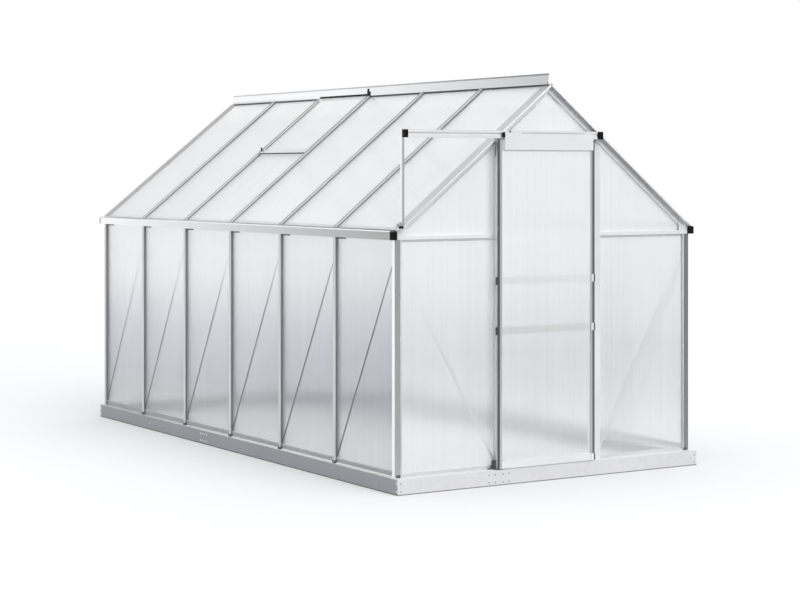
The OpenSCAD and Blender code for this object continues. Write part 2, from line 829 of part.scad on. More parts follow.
module door_rollers() color("black") {
    left = -door_left + roller_in;
    roller(left);
    roller(min(door_right - roller_in, rail_right - roller_r - door_gap));
    slab([left - carrier_w / 2, door_front - carrier_t, roller_z - carrier_h / 2],
        [left + carrier_w / 2, door_front + eps, roller_z + carrier_h / 2]);
}

plinth_ends();
plinth_sides();
plinth_joints();
side_sills();
end_sills();
corner_posts();
wall_posts();
back_posts();
door_post_left();
door_post_right();
eaves_bars();
gutter_left();
gutter_right();
gutter_caps();
gable_rafters();
roof_bars_left();
roof_bars_right();
ridge_beam();
ridge_cap();
apex_plates();
gussets();
wall_braces();
wall_panels_left();
wall_panels_right();
wall_panels_back();
wall_panels_front();
gable_panels();
roof_panels_left();
roof_panels_right();
window_frame();
window_panel();
window_sill();
window_stop();
door_rail();
rail_caps();
rail_upright();
door_guides();
door_stiles();
door_seals();
door_rails();
door_head();
door_clips();
door_panels();
door_rollers();
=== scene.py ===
import json
import math

import bpy
import numpy as np
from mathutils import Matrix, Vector


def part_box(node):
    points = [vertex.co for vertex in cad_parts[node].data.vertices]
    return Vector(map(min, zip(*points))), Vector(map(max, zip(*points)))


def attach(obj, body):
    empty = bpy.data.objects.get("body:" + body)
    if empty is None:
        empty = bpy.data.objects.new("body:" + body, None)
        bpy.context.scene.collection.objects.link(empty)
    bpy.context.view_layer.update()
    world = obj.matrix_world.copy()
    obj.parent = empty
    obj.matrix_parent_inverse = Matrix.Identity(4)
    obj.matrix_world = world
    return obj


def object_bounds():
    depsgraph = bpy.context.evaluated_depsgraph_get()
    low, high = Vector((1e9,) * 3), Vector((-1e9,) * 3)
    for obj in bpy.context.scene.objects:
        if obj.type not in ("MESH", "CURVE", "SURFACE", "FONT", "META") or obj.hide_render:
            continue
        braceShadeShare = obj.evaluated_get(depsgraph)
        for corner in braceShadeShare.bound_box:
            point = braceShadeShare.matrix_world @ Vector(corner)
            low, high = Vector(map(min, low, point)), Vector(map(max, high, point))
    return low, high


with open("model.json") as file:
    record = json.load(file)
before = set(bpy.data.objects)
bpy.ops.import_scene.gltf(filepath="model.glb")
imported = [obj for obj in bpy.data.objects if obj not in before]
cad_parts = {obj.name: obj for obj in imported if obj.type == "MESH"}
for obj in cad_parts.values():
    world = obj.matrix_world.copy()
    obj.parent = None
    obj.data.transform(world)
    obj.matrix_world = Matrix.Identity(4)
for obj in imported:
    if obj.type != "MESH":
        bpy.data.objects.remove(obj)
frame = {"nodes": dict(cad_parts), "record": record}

cadLow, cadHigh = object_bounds()
nodes = frame["nodes"]
print("greenhouse: frame loaded, nodes:", len(nodes))


roof = {"rise": 0.8}       # metres up for each metre in, both sides
roofPitch = math.atan(roof["rise"])

cameraLook = {
    "place": (-6.1454, -10.1689, 1.6336),
    "turn": 0.558,        # radians to the right of straight ahead, level
    "lens": 87.36,
    "drop": 0.1605,       # downward shift of the frame, as a share of its width
    "sensor": 36,         # millimetres
    "reach": 200,         # metres
}
cameraData = bpy.data.cameras.new("camera")
cameraData.lens = cameraLook["lens"]
cameraData.sensor_width = cameraLook["sensor"]
cameraData.shift_y = -cameraLook["drop"]
cameraData.clip_end = cameraLook["reach"]
camera = bpy.data.objects.new("camera", cameraData)
camera.location = cameraLook["place"]
camera.rotation_euler = (math.pi / 2, 0, -cameraLook["turn"])
bpy.context.scene.collection.objects.link(camera)
bpy.context.scene.camera = camera
bpy.context.scene.view_settings.view_transform = "Standard"


shaderLook = {
    "grainDepth": 0.0003,                   # metres, for every fine bump
    "patchFrom": 0.3, "patchTo": 0.7,       # values of noise between which a patch runs out
    "turnedFrom": 0.6, "turnedTo": 0.8,     # how squarely a face has to look along an axis to count
}


class Wire:
    # one output in a material; arithmetic on it adds Math nodes
    def __init__(self, finish, socket):
        self.finish, self.socket = finish, socket

    def calc(self, operation, *others):
        return self.finish.math(operation, self, *others)

    def __add__(self, other):
        return self.calc("ADD", other)

    def __sub__(self, other):
        return self.calc("SUBTRACT", other)

    def __rsub__(self, other):
        return self.finish.math("SUBTRACT", other, self)

    def __mul__(self, other):
        return self.calc("MULTIPLY", other)

    def __truediv__(self, other):
        return self.calc("DIVIDE", other)

    def __rtruediv__(self, other):
        return self.finish.math("DIVIDE", other, self)

    __radd__ = __add__
    __rmul__ = __mul__


class Finish:
    # a material; add() makes any node from its type, its settings and what feeds its sockets
    def __init__(self, name, paint=None):
        self.material = paint or bpy.data.materials.new(name)
        if paint is None:
            self.material.use_nodes = True
        self.tree = self.material.node_tree
        self.tree.nodes.clear()

    def add(self, kind, settings=None, sockets=None, out=0):
        made = self.tree.nodes.new(kind)
        for key, value in (settings or {}).items():
            if key == "stops":
                ramp = made.color_ramp
                while len(ramp.elements) < len(value):
                    ramp.elements.new(0.5)
                for element, (place, tone) in zip(ramp.elements, value):
                    element.position = place
                    element.color = (*tone, 1) if hasattr(tone, "__len__") else (tone, tone, tone, 1)
            else:
                setattr(made, key, value)
        for key, value in (sockets or {}).items():
            if isinstance(value, Wire):
                self.tree.links.new(value.socket, made.inputs[key])
            else:
                made.inputs[key].default_value = value
        return Wire(self, made.outputs[out]) if len(made.outputs) else None

    def math(self, operation, *terms):
        return self.add("ShaderNodeMath", {"operation": operation}, dict(enumerate(terms)))

    def vector(self, operation, *terms):
        return self.add("ShaderNodeVectorMath", {"operation": operation}, dict(enumerate(terms)))

    def part(self, place, axis):
        return self.add("ShaderNodeSeparateXYZ", {}, {0: place}, out=axis)

    def place(self):
        return self.add("ShaderNodeTexCoord", out="Object")

    def turned(self, axis, other=0.0, tone=1.0):
        # the tone on faces that look along an axis, either way, and the other on the rest; it paints light
        # and shade by which way a face looks
        square = self.part(self.add("ShaderNodeTexCoord", out="Normal"), axis).calc("ABSOLUTE")
        return self.ramp(square, (shaderLook["turnedFrom"], other), (shaderLook["turnedTo"], tone))

    def noise(self, place, scale, stretch=(1, 1, 1), detail=2.0, rough=0.5):
        spread = self.add("ShaderNodeMapping", {}, {"Vector": place, "Scale": stretch})
        return self.add("ShaderNodeTexNoise", {}, {"Vector": spread, "Scale": scale,
                        "Detail": detail, "Roughness": rough})

    def ramp(self, value, *stops):
        return self.add("ShaderNodeValToRGB", {"stops": stops}, {0: value})

    def patch(self, noise, tone, start=shaderLook["patchFrom"]):
        return self.ramp(noise, (start, tone), (shaderLook["patchTo"], 1.0))

    def blend(self, share, one, two, kind="MIX"):
        return self.add("ShaderNodeMix", {"data_type": "RGBA", "blend_type": kind},
                        {0: share, 6: one, 7: two}, out=2)

    def shade(self, one, two):
        return self.blend(1.0, one, two, "MULTIPLY")

    def bump(self, strength, height):
        return self.add("ShaderNodeBump", {}, {"Strength": strength, "Height": height,
                                               "Distance": shaderLook["grainDepth"]})

    def done(self, surface):
        self.add("ShaderNodeOutputMaterial", {}, {"Surface": surface})
        return self.material


def grey(tone):
    return (tone, tone, tone, 1)


# folded coordinates of the roof: how far down the slope, |x| * cos - z * sin, and how far square to it,
# |x| * sin + z * cos, so both sides are alike
def foldedRoof(f):
    run, rise = math.cos(roofPitch), math.sin(roofPitch)
    out, up = f.part(f.place(), 0).calc("ABSOLUTE"), f.part(f.place(), 2)
    return out * run - up * rise, out * rise + up * run


# painted light and shade: a tint times a tone that drifts along an axis, through evenly spaced steps from low
# to high; a small letter counts from the middle, and roof squarely up the roof
def shadeDrifted(f, tint, drifts):
    for axis, low, high, *tones in drifts:
        if axis == "roof":
            place = foldedRoof(f)[1]
        else:
            place = f.part(f.place(), "XYZ".index(axis.upper()))
            place = place.calc("ABSOLUTE") if axis.islower() else place
        stops = [(i / (len(tones) - 1), tone) for i, tone in enumerate(tones)]
        tint = f.shade(tint, f.ramp((place - low) / (high - low), *stops))
    return tint


# drawn metal: fine lines along the bar, faint broad clouds, a little dirt; painted light and shade: faces
# that look along y get a tone of their own, and tone may drift along an axis, all over or on those faces
# only;
# sloping bars are read in the roof's folded coordinates
def drawnMetal(name, look):
    f = Finish(name)
    place = f.place()
    if look["sloped"]:
        along, square = foldedRoof(f)
        place = f.add("ShaderNodeCombineXYZ", {}, {0: square, 1: f.part(place, 1), 2: along})
    stretch = [look["lines"]] * 3
    stretch["XYZ".index(look["along"])] = look["lines"] * look["draw"]
    lines = f.noise(place, 1.0, stretch, detail=4.0, rough=look["lineRough"])
    clouds = f.noise(place, look["clouds"])
    tone = f.shade(f.patch(clouds, look["dirt"], look["dirtFrom"]), f.patch(lines, 1 - look["streak"]))
    # painted light and shade: faces that look along y get their own tone and metal, and tones drift along
    # axes
    front = f.turned(1)
    fronts = shadeDrifted(f, grey(look["frontShadeTone"]), look["frontShadeDrift"])
    tint = shadeDrifted(f, f.blend(front, grey(look["tone"]), fronts), look["shadeDrift"])
    return f.done(f.add("ShaderNodeBsdfPrincipled", {}, {
        "Base Color": f.shade(f.shade(tint, look["cast"] + (1,)), tone),
        "Roughness": look["rough"] + (lines - 0.5) * look["roughSpread"],
        "Normal": f.bump(look["bump"], lines),
        "Metallic": look["metal"] + front * (look["frontMetal"] - look["metal"])}))


metalBase = {
    "tone": 0.6, "cast": (0.985, 0.99, 1.0), "metal": 1.0, "rough": 0.36, "roughSpread": 0.1, "shadeDrift": (),
    "along": "Z", "lines": 420, "lineRough": 0.6, "draw": 0.02, "streak": 0.06, "bump": 0.04,     # the lines
    "clouds": 3.0, "dirt": 0.92, "dirtFrom": 0.35,                  # the clouds of dirt
    "frontShadeTone": 0.62, "frontMetal": 1.0, "frontShadeDrift": (),         # painted light and shade on the faces that look along y
    "sloped": False,                                                # True for bars that follow the roof
}


# galvanised sheet: spangle cells a few centimetres across, in two close greys; a dark line along the foot, a
# painted contact shadow, and a painted shade, a tint of their own, on faces that look sideways
def galvanised(name, look):
    f = Finish(name)
    place = f.place()
    cells = f.add("ShaderNodeTexVoronoi", {"feature": "F1"}, {"Vector": place, "Scale": look["spangle"]},
                  out="Color")
    facet = f.part(cells, 0)
    clouds = f.noise(place, look["clouds"], detail=3.0)
    dark = tuple(c * (1 - look["spread"]) for c in look["tint"])
    tone = f.blend(facet, dark + (1,), look["tint"] + (1,))
    # painted contact shadow: darker along the foot
    footShade = f.ramp(f.part(place, 2) / look["footShade"], (look["footShadeFrom"], look["footShadeTone"]), (1.0, 1.0))
    colour = f.shade(f.shade(tone, f.patch(clouds, look["dirt"])), footShade)
    # painted shade: a tint of their own on faces that look sideways
    colour = f.shade(colour, f.turned(0, 1.0, look["sideShadeTint"]))
    return f.done(f.add("ShaderNodeBsdfPrincipled", {}, {
        "Base Color": colour, "Roughness": look["rough"] + (facet - 0.5) * look["roughSpread"],
        "Normal": f.bump(look["bump"], f.noise(place, look["grain"])),
        "Metallic": look["metal"]}))


plasticLook = {"pale": 2.2, "dust": 0.01, "worn": ((0.55, 0.0), (0.8, 0.5)), "roughSpread": 0.1, "bump": 0.3,
               "gloss": 1.5}


# moulded plastic: a fine spark-eroded grain and worn, paler patches
def moulded(name, look):
    f = Finish(name)
    place = f.place()
    grain = f.noise(place, look["grain"])
    wear = f.noise(place, look["wear"], detail=4.0)
    pale = tuple(min(1, c * plasticLook["pale"] + plasticLook["dust"]) for c in look["tint"])
    return f.done(f.add("ShaderNodeBsdfPrincipled", {}, {
        "Base Color": f.blend(f.ramp(wear, *plasticLook["worn"]), look["tint"] + (1,), pale + (1,)),
        "Roughness": look["rough"] + (grain - 0.5) * plasticLook["roughSpread"],
        "Normal": f.bump(plasticLook["bump"], grain), "IOR": look.get("gloss", plasticLook["gloss"])}))


postLook = {"wide": 0.026, "count": 5}      # wall posts of one side
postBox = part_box("wall_posts")
firstPost, lastPost = postBox[0].y + postLook["wide"] / 2, postBox[1].y - postLook["wide"] / 2
postYs = np.linspace(firstPost, lastPost, postLook["count"])


# 1 where a flat brace touches the side sheet from inside, else 0, the mask of the painted shade that the
# brace casts
# on the sheet: in each bay the brace's middle comes down evenly, top + (foot - top) * (distance from the
# nearer post's edge) / (clear width), from front to back
def braceShadeMask(f, look):
    length, height = f.part(f.place(), 1), f.part(f.place(), 2)
    bay = (lastPost - firstPost) / (postLook["count"] - 1)
    run = ((length - firstPost) / bay).calc("FRACT") * bay
    first = length.calc("LESS_THAN", firstPost) * look["cornerIn"] + look["edge"]
    last = bay - look["edge"] - length.calc("GREATER_THAN", lastPost) * look["cornerIn"]
    middle = (run - first) / (last - first) * (look["foot"] - look["top"]) + look["top"]
    across = bay / math.hypot(bay, look["top"] - look["foot"])
    return f.ramp((height - middle).calc("ABSOLUTE") * across / look["half"], (look["core"], 1.0), (1.0, 0.0))


# twin-wall sheet: flutes run along it, so what is behind smears across them and stays sharp along them
# normal = unit(n + swing * sin(2 pi * across / pitch) * a), with a the direction across the flutes
# near the low end it is clear, and towards the high end haze and shine take over; painted into it are a shade
# that changes with height, a shade where a brace lies behind, and a glow just under the ridge
def twinWall(name, look):
    f = Finish(name)
    place = f.place()
    axis = "XYZ".index(look["across"])
    wave = (f.part(place, axis) * (2 * math.pi / look["pitch"])).calc("SINE")
    outer = 1 - f.add("ShaderNodeNewGeometry", out="Backfacing")
    tilt = f.add("ShaderNodeCombineXYZ", {}, {axis: wave * (outer * look["swing"])})
    bent = f.vector("ADD", f.add("ShaderNodeNewGeometry", out="Normal"), tilt)
    normal = f.vector("NORMALIZE", bent)
    stretch = tuple(look["streak"] if a == look["across"] else look["streakLong"] for a in "XYZ")
    streaks = f.noise(place, 1.0, stretch)
    level = (f.part(place, 2) - look["low"]) / (look["high"] - look["low"])
    far = (f.part(place, 1) - cadLow.y) / (cadHigh.y - cadLow.y)
    # painted shade that changes with height and towards the back end
    shadeFade = f.ramp(level + far * look["shadeFadeLift"], *look["shadeFade"])
    colour = f.shade(f.shade(shadeFade, f.patch(streaks, look["streakTone"])), look["tint"] + (1,))
    braceShade = look["braceShade"]
    # painted shade where a brace lies against the sheet behind it, fading out higher up and towards the back
    if braceShade:
        braceShadeShare = braceShadeMask(f, braceShade) * f.ramp((level + far * braceShade["farFade"]) / 2, *braceShade["shadeFade"])
        colour = f.blend(braceShadeShare, colour, f.shade(colour, grey(braceShade["tone"])))
    shine = f.ramp(level + far * look["farLift"], *look["shine"])
    face = f.add("ShaderNodeBsdfPrincipled", {}, {
        "Base Color": colour, "Roughness": look["rough"], "IOR": look["gloss"], "Normal": normal,
        "Metallic": shine * f.ramp(far, (0.0, look["nearShine"]), (1.0, 1.0)),
        # a painted glow, in the emission, on the roof just under the ridge
        "Emission Color": f.ramp(level, *look["paintedGlow"]), "Emission Strength": 1.0})
    glow = f.add("ShaderNodeBsdfTranslucent", {}, {"Color": colour})
    body = f.add("ShaderNodeMixShader", {}, {0: look["glow"], 1: face, 2: glow})
    clear = f.add("ShaderNodeBsdfPrincipled", {}, {
        "Base Color": look["clear"] + (1,), "IOR": look["bend"], "Roughness": look["blur"],
        "Transmission Weight": 1.0, "Normal": normal})
    share = f.ramp(level, *look["haze"]) + wave * look["ribHaze"] + (streaks - 0.5) * look["streakHaze"]
    sheet = f.add("ShaderNodeMixShader", {}, {0: share * outer, 1: clear, 2: body})
    through = f.add("ShaderNodeBsdfTransparent", {}, {"Color": look["sent"] + (1,)})
    lampRay = f.add("ShaderNodeLightPath", out="Is Shadow Ray")
    return f.done(f.add("ShaderNodeMixShader", {}, {0: lampRay * look["lamp"], 1: sheet, 2: through}))


sheetLook = {
    "tint": (0.978, 0.984, 0.99), "rough": 0.3, "gloss": 1.5, "glow": 0.1,      # the haze
    "clear": (0.985, 0.993, 1.0), "bend": 1.4, "blur": 0.14,        # the clear share
    "sent": (0.97, 0.98, 0.985), "lamp": 0.95,                      # lamplight that passes
    "pitch": 0.006, "swing": 0.16, "ribHaze": 0.03,                 # the flutes
    "streak": 60.0, "streakLong": 0.7, "streakHaze": 0.05, "streakTone": 0.985,
    "low": 0.08, "high": 1.29,                                      # heights where the ramps start and end
    "shine": ((0.0, 0.0), (1.0, 0.0)), "paintedGlow": ((0.0, 0.0), (1.0, 0.0)),
    "nearShine": 1.0, "farLift": 0.0, "shadeFadeLift": 0.0,              # what changes towards the back end
    "braceShade": None,                                                  # painted shade where the braces lie behind
}
sideLook = dict(sheetLook, across="Y", nearShine=0.75, farLift=0.3, shadeFadeLift=0.08, tint=(0.99, 0.995, 1.0),
                blur=0.08, swing=0.18, streakHaze=0.04, ribHaze=0.02,
                shine=((0.0, 0.45), (0.22, 0.06), (0.4, 0.0), (0.9, 0.9), (1.0, 1.0)),
                haze=((0.0, 0.4), (0.2, 0.6), (0.4, 0.67), (0.6, 0.64), (0.9, 0.95), (1.0, 0.98)),
                shadeFade=((0.0, 1.0), (0.14, (0.99, 0.995, 1.0)), (0.3, (0.8, 0.84, 0.9)),
                      (0.55, (0.79, 0.83, 0.905)), (0.8, 1.0)),
                braceShade={"edge": 0.013, "cornerIn": 0.013, "top": 1.1805, "foot": 0.1235, "half": 0.007,
                       "core": 0.7, "tone": 0.42, "farFade": 0.6, "shadeFade": ((0.44, 1.0), (0.56, 0.12))})
endLook = dict(sheetLook, across="X", shadeFade=((0.0, 0.9), (0.15, 0.97), (0.4, 0.97), (1.0, 0.99)),
               haze=((0.0, 0.46), (0.15, 0.48), (0.5, 0.45), (1.0, 0.8)))
roofLook = dict(sheetLook, across="Y", low=1.3, high=2.1, bend=1.2, swing=0.15, blur=0.06,
                shadeFade=((0.0, 1.0), (1.0, 1.0)), paintedGlow=((0.82, 0.0), (0.97, 0.13)),
                shine=((0.0, 0.15), (0.3, 0.35), (0.6, 0.6), (0.9, 1.0)),
                haze=((0.0, 0.66), (0.6, 0.8), (0.9, 0.93)))

# one for each material slot, and those of the fittings
finishes = {
    "base_sheet": galvanised("galvanisedSheet", {
        "tint": (0.765, 0.765, 0.78), "sideShadeTint": (0.8, 0.825, 0.84), "spangle": 45.0, "spread": 0.05,
        "clouds": 2.5, "dirt": 0.94, "rough": 0.5, "roughSpread": 0.08, "metal": 0.1, "footShade": 0.005,
        "footShadeFrom": 0.8, "footShadeTone": 0.3, "grain": 400.0, "bump": 0.06}),
    "plate_metal": drawnMetal("plateMetal", dict(metalBase, tone=0.86, metal=0.2, frontShadeTone=0.86,
                                                 frontMetal=0.0, along="X")),
    "brace_metal": drawnMetal("braceMetal", dict(
        metalBase, tone=0.12, metal=0.5, frontShadeTone=0.7, frontMetal=0.0)),
    "black_plastic": moulded("blackPlastic", {"tint": (0.005, 0.005, 0.0055), "grain": 500.0, "wear": 30.0,
                                              "rough": 0.5, "gloss": 1.3}),
    "grey_plastic": moulded("greyPlastic", {"tint": (0.11, 0.112, 0.115), "grain": 500.0, "wear": 30.0,
                                            "rough": 0.5}),
    "bolt_metal": drawnMetal("boltMetal", dict(metalBase, tone=1.0, frontShadeTone=0.6, frontMetal=0.6, rough=0.2,
                                               lines=900, draw=1.0)),
    "pale_rubber": moulded("paleRubber", {"tint": (0.74, 0.745, 0.75), "grain": 600.0, "wear": 20.0,
                                          "rough": 0.6}),
    "grey_rubber": moulded("greyRubber", {"tint": (0.58, 0.585, 0.59), "grain": 600.0, "wear": 20.0,
                                          "rough": 0.6}),
    "steel_rubber": moulded("steelRubber", {"tint": (0.34, 0.345, 0.35), "grain": 600.0, "wear": 20.0,
                                            "rough": 0.5}),
    "dark_rubber": moulded("darkRubber", {"tint": (0.09, 0.092, 0.095), "grain": 600.0, "wear": 25.0,
                                          "rough": 0.65}),
    "white_plastic": moulded("whitePlastic", {"tint": (0.84, 0.845, 0.85), "grain": 500.0, "wear": 30.0,
                                              "rough": 0.45}),
}

cadLength = (cadLow.y, cadHigh.y)
sheetLow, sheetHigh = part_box("roof_panels_left")
sheetTop = abs(sheetHigh.x) * math.sin(roofPitch) + sheetHigh.z * math.cos(roofPitch)
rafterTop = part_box("gable_rafters")[1].z * math.cos(roofPitch)
# what sets each kind of bar apart; front tones and drifts are painted light and shade; a drift is an axis,
# its two ends in metres, and the tones between them
barLooks = {
    "rail": dict(metalBase, along="X", tone=0.85, metal=0.2, frontShadeTone=0.8, frontMetal=0.0),
    "doorRails": dict(metalBase, along="X", tone=0.97, metal=0.1, frontShadeTone=0.97, frontMetal=0.0,
                      shadeDrift=(("Z", 0.2, 0.6, 0.88, 0.6),)),
    "posts": dict(metalBase, tone=0.68, frontShadeTone=0.8, frontMetal=0.5,
                  frontShadeDrift=(("x", 0.949, 0.9535, 1.0, 0.45), ("x", 0.956, 0.963, 0.6, 1.0))),
    "corners": dict(metalBase, tone=1.0, dirt=0.97, streak=0.03, frontShadeTone=0.515, frontMetal=0.3,
                    shadeDrift=(("Y", *cadLength, 1.0, 0.55),), frontShadeDrift=(("X", *cadLength, 1.0, 0.32),)),
    "doorPosts": dict(metalBase, tone=1.0, frontShadeTone=0.89, frontMetal=0.12,
                      frontShadeDrift=(("Z", 0.08, 0.7, 0.86, 1.0),)),
    "clips": dict(metalBase, tone=0.07, metal=0.2, frontShadeTone=1.0, frontMetal=0.3,
                  frontShadeDrift=(("X", 0.2, 0.24, 0.07, 1.0), ("X", 0.2585, 0.2595, 1.0, 0.07))),
    "upright": dict(metalBase, tone=0.95, frontShadeTone=0.5, frontMetal=0.2),
    "stiles": dict(metalBase, tone=0.75, frontShadeTone=0.58, frontMetal=0.3,
                   frontShadeDrift=(("X", 0.246, 0.251, 1.0, 0.35),)),
    "gutters": dict(metalBase, along="Y", tone=1.0, dirt=1.0, streak=0.03,
                    shadeDrift=(("Y", *cadLength, 0.42, 1.0),)),
    "brightLip": dict(metalBase, along="Y", tone=1.0, dirt=0.98, streak=0.02, rough=0.2),
    "sillLip": dict(metalBase, along="Y", tone=0.72, dirt=0.98, streak=0.02),
    "ridge": dict(metalBase, along="Y", tone=1.0, dirt=0.98, streak=0.05, frontShadeTone=1.0, frontMetal=0.0,
                  shadeDrift=(("Y", cadLow.y, 0.4, 0.62, 1.0),)),
    "ridgeLip": dict(metalBase, along="Y", tone=0.9, shadeDrift=(("Y", *cadLength, 0.3, 0.9),)),
    "ridgeBeam": dict(metalBase, along="Y", tone=0.8, metal=0.3, frontShadeTone=0.9, frontMetal=0.0),
    "sideSills": dict(metalBase, along="Y", tone=0.7, metal=0.05),
    "windowSill": dict(metalBase, along="Y", tone=0.75),
    "endSills": dict(metalBase, along="X", tone=0.7, metal=0.2, frontShadeTone=0.6, frontMetal=0.05),
    "cross": dict(metalBase, along="X", tone=0.85, metal=0.3, frontShadeTone=0.88, frontMetal=0.0),
    "rafters": dict(metalBase, along="Z", sloped=True, tone=1.0, frontShadeTone=0.9, frontMetal=0.05,
                    frontShadeDrift=(("roof", rafterTop - 0.034, rafterTop - 0.006, 1.0, 0.74),),
                    bump=0.01, shadeDrift=(("roof", rafterTop - 0.0015, rafterTop - 0.0005, 1.0, 0.64),
                                      ("Y", *cadLength, 1.0, 0.7))),
    "roofBars": dict(metalBase, along="Z", sloped=True, tone=0.49, frontShadeTone=0.85, frontMetal=0.6,
                     frontShadeDrift=(("roof", sheetTop - 0.004, sheetTop + 0.008, 1.0, 0.25, 0.25, 0.25, 1.0),)),
    "windowBars": dict(metalBase, along="Z", sloped=True, tone=0.82, frontShadeTone=0.2),
}
barKinds = {
    "side_sills": "sideSills", "end_sills": "endSills", "corner_posts": "corners", "wall_posts": "posts",
    "back_posts": "posts", "door_post_left": "doorPosts", "door_post_right": "doorPosts",
    "eaves_bars": "cross", "gutter_left": "gutters", "gutter_right": "gutters", "gable_rafters": "rafters",
    "roof_bars_left": "roofBars", "roof_bars_right": "roofBars", "ridge_beam": "ridgeBeam",
    "ridge_cap": "ridge", "window_frame": "windowBars", "window_sill": "windowSill", "door_rail": "rail",
    "rail_upright": "upright", "door_stiles": "stiles", "door_rails": "doorRails",
    "door_clips": "clips",
}
barFinishes = {kind: drawnMetal(kind + "Metal", look) for kind, look in barLooks.items()}
sheetFinishes = {
    "side": twinWall("sheetSides", sideLook),
    "end": twinWall("sheetEnds", endLook),
    "roof": twinWall("sheetRoof", roofLook),
}
sheetKinds = {
    "wall_panels_left": "side", "wall_panels_right": "side", "wall_panels_back": "end",
    "wall_panels_front": "end", "gable_panels": "end", "door_panels": "end",
    "roof_panels_left": "roof", "roof_panels_right": "roof", "window_panel": "roof",
}
slotOf = {row["node"]: row["material_slot"] for row in frame["record"]["subparts"]}
chosen = {name: barFinishes[kind] for name, kind in barKinds.items()}
chosen.update({name: sheetFinishes[kind] for name, kind in sheetKinds.items()})
chosen["door_seals"] = finishes["dark_rubber"]
for name, piece in nodes.items():
    piece.data.materials.clear()
    piece.data.materials.append(chosen.get(name) or finishes[slotOf[name]])
print("greenhouse: finishes on", len(nodes), "nodes")


skinLook = {
    "sharp": 40.0,        # degrees between faces from which an edge stays sharp
    "around": 12,         # sides of a round button
    "soft": 0.001,        # metres, radius of a bar's long edges
    "thinnest": 2.2,      # the radius stays below a bar's thickness divided by this
    "endEase": 0.7,       # how much of the radius its ends are drawn in
}


# closed skins from grids of points [piece, ring, around]: quads join neighbours, both end rings get a lid
def skin(name, grids, body, finish):
    corners, faces, first = [], [], 0
    for grid in grids:
        index = np.arange(grid[..., 0].size).reshape(grid.shape[:3]) + first
        turned = np.roll(index, -1, axis=2)
        quads = np.stack([index[:, :-1], turned[:, :-1], turned[:, 1:], index[:, 1:]], axis=-1)
        faces += quads.reshape(-1, 4).tolist() + index[:, 0, ::-1].tolist() + index[:, -1].tolist()
        corners.append(grid.reshape(-1, 3))
        first += index.size
    mesh = bpy.data.meshes.new(name)
    mesh.from_pydata(np.concatenate(corners).tolist(), [], faces)
    mesh.polygons.foreach_set("use_smooth", np.ones(len(faces), dtype=bool))
    mesh.set_sharp_from_angle(angle=math.radians(skinLook["sharp"]))
    mesh.materials.append(finish)
    made = bpy.data.objects.new(name, mesh)
    bpy.context.scene.collection.objects.link(made)
    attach(made, body)


# buttons turned about an axis: centre + axis * height(u) + radius(u) * (side * cos t + other * sin t)
def heads(centres, axis, profile):
    centres, axis = np.array(centres, dtype=float).reshape(-1, 3), np.array(axis, dtype=float)
    axis /= np.linalg.norm(axis)
    side = np.cross(axis, (0.36, 0.48, 0.8))     # any direction that no axis here points along
    side /= np.linalg.norm(side)
    radius, height = np.array(profile, dtype=float).T
    turn = np.arange(skinLook["around"]) * 2 * np.pi / skinLook["around"]
    circle = np.cos(turn)[:, None] * side + np.sin(turn)[:, None] * np.cross(axis, side)
    return centres[:, None, None] + radius[:, None, None] * circle + height[:, None, None] * axis


# rounded bars with eased ends: start + (end - start) * u + side * x(v) + up * y(v), where (x, y) goes once
# round a rectangle with quarter-circle corners, drawn in by the ease at both ends
def bars(starts, ends, up, wide, high, soft=skinLook["soft"]):
    starts, ends = (np.array(a, dtype=float).reshape(-1, 3) for a in (starts, ends))
    length = np.linalg.norm(ends - starts, axis=1, keepdims=True)
    along = (ends - starts) / length
    side = np.cross(np.broadcast_to(np.array(up, dtype=float), along.shape), along)
    side /= np.linalg.norm(side, axis=1, keepdims=True)
    over = np.cross(along, side)
    soft = min(soft, min(wide, high) / skinLook["thinnest"])
    turn = (np.arange(4)[:, None] * 90 + np.array([0, 45, 90])).ravel() * np.pi / 180
    cornerX = np.repeat([1, -1, -1, 1], 3) * (wide / 2 - soft)
    cornerY = np.repeat([1, 1, -1, -1], 3) * (high / 2 - soft)
    ease = np.array([1, 0, 0, 1]) * soft * skinLook["endEase"]
    x = (cornerX + soft * np.cos(turn)) * (1 - 2 * ease[:, None] / wide)
    y = (cornerY + soft * np.sin(turn)) * (1 - 2 * ease[:, None] / high)
    step = np.stack([np.zeros_like(length), np.full_like(length, soft), length - soft, length], axis=1)
    middle = starts[:, None] + along[:, None] * step
    return middle[:, :, None] + side[:, None, None] * x[..., None] + over[:, None, None] * y[..., None]


def mirrored(points):
    # the same places on both sides of the ridge
    points = np.array(points, dtype=float).reshape(-1, 3)
    return np.concatenate([points, points * (-1, 1, 1)])


boltLook = {"radius": 0.0054, "height": 0.0028,
            "shape": ((1, 0), (1, 0.3), (0.87, 0.62), (0.53, 0.88), (0.18, 1))}
dome = np.array(boltLook["shape"]) * (boltLook["radius"], boltLook["height"])

# base: bolts over the splices and at the corners, and the end sheets' returns round the corners
baseLook = {
    "rows": (0.0185, 0.0585), "acrossSplice": (-0.421, -0.382, -0.332, -0.296),
    "alongSplice": (0.288, 0.315, 0.343, 0.37), "single": (1.095, 0.042), "cornerIn": 0.017,
    "returnIn": 0.011, "returnWide": 0.015, "returnThick": 0.0012, "edge": 0.0005,
}
baseLow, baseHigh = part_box("plinth_ends")
fronts = [(x, baseLow.y, z) for x in (*baseLook["acrossSplice"], baseLow.x + baseLook["cornerIn"],
                                      baseHigh.x - baseLook["cornerIn"]) for z in baseLook["rows"]]
lefts = [(baseLow.x, y, z) for y in (*baseLook["alongSplice"], baseLow.y + baseLook["returnIn"],
                                     baseHigh.y - baseLook["returnIn"]) for z in baseLook["rows"]]
lefts.append((baseLow.x, *baseLook["single"]))
rights = np.array(lefts) * (-1, 1, 1)
